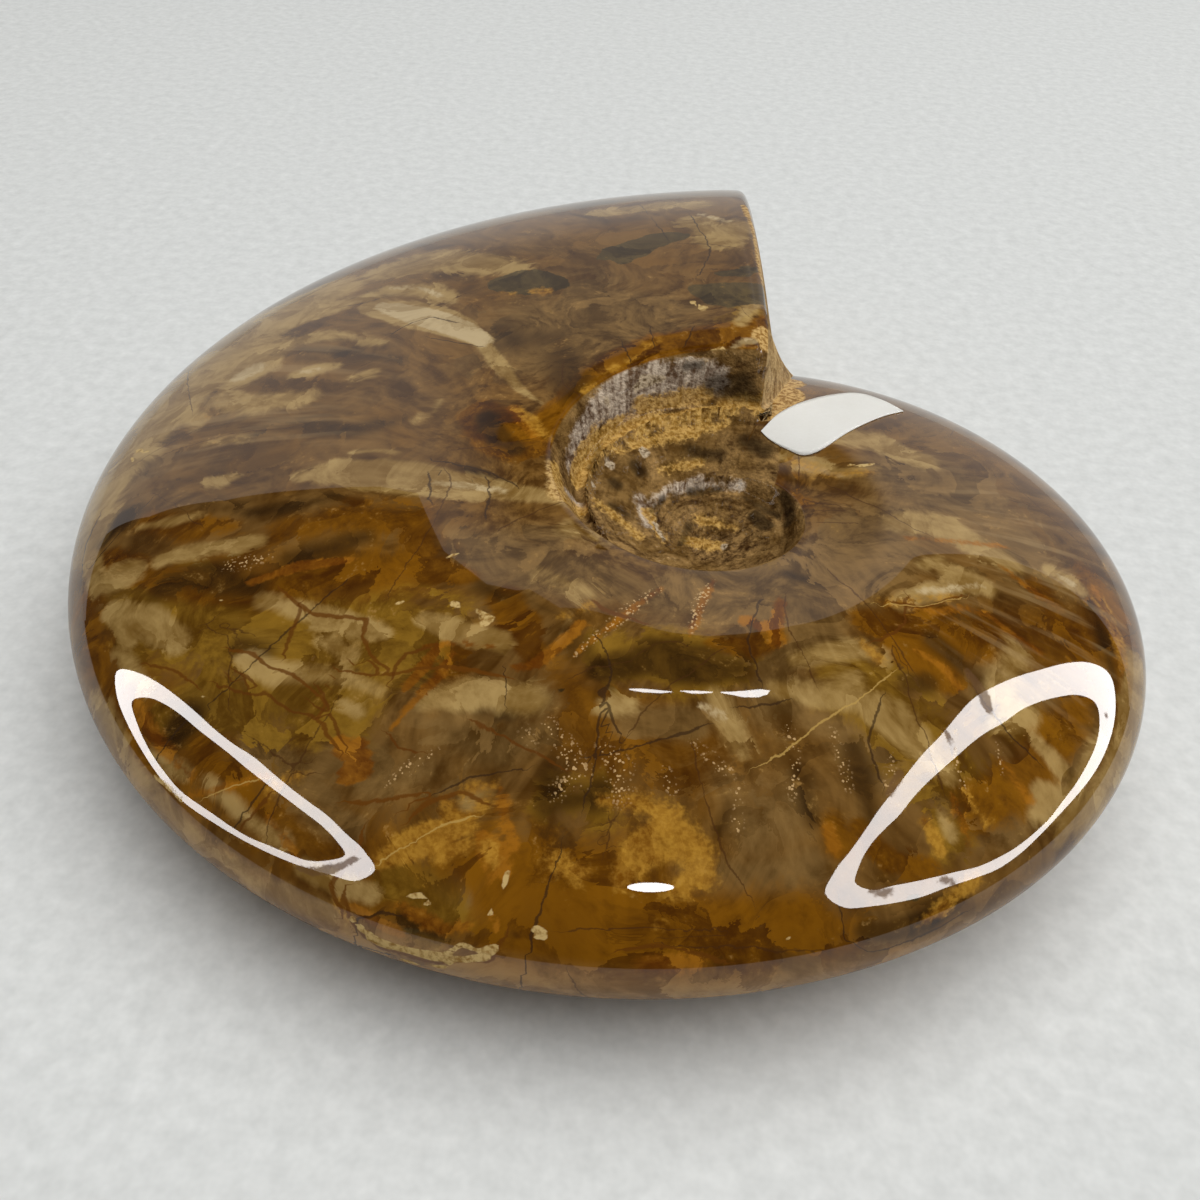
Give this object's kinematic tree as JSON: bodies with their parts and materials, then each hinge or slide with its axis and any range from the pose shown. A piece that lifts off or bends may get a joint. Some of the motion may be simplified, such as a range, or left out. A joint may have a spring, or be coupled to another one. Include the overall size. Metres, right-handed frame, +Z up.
{
  "type": "polished fossil ammonite",
  "caption": "Polished fossil ammonite lying on its side: an involute coiled shell turned to stone, with a small deep umbilicus and a blank paper label near its aperture",
  "frame": {"origin": "centre of the bounding box's bottom face, on the surface that the fossil lies on", "axes": "+Z up from that surface; +Y from the coil towards the outer edge of the aperture; +X to the right, seen from the side that the picture was taken from, which is -Y"},
  "size_m": [0.1404, 0.1658, 0.0376],
  "materials": {
    "polished_stone": "high gloss polish, mottled amber, brown and grey",
    "label_paper": "matte white paper, blank"
  },
  "bodies": {
    "root": {"ammonite": "polished_stone", "paper_label": "label_paper"}
  },
  "joints": []
}
